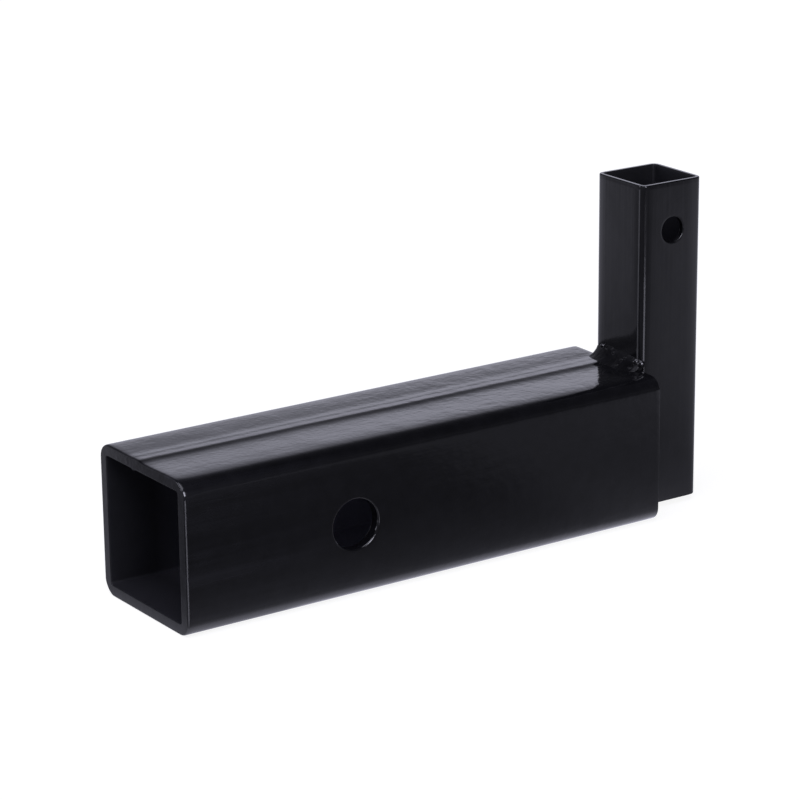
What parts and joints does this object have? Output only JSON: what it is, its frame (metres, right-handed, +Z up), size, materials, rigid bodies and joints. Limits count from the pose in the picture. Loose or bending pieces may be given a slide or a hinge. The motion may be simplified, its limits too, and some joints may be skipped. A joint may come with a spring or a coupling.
{
  "type": "hitch receiver adapter",
  "caption": "Square receiver shank with a cross hole for a hitch pin and a slimmer square post welded upright across its end, with a pin hole near the post's open top.",
  "frame": {"origin": "centre of the hitch pin hole, midway between the shank's two side walls", "axes": "+X along the shank from its open mouth towards the post, +Y along the hitch pin hole, +Z up along the post"},
  "size_m": [0.2095, 0.0508, 0.114],
  "materials": {
    "black_powder_coat": "gloss black powder coat on steel, slightly uneven"
  },
  "bodies": {
    "root": {"shank_tube": "black_powder_coat", "post_tube": "black_powder_coat", "top_weld": "black_powder_coat", "foot_weld": "black_powder_coat"}
  },
  "joints": []
}
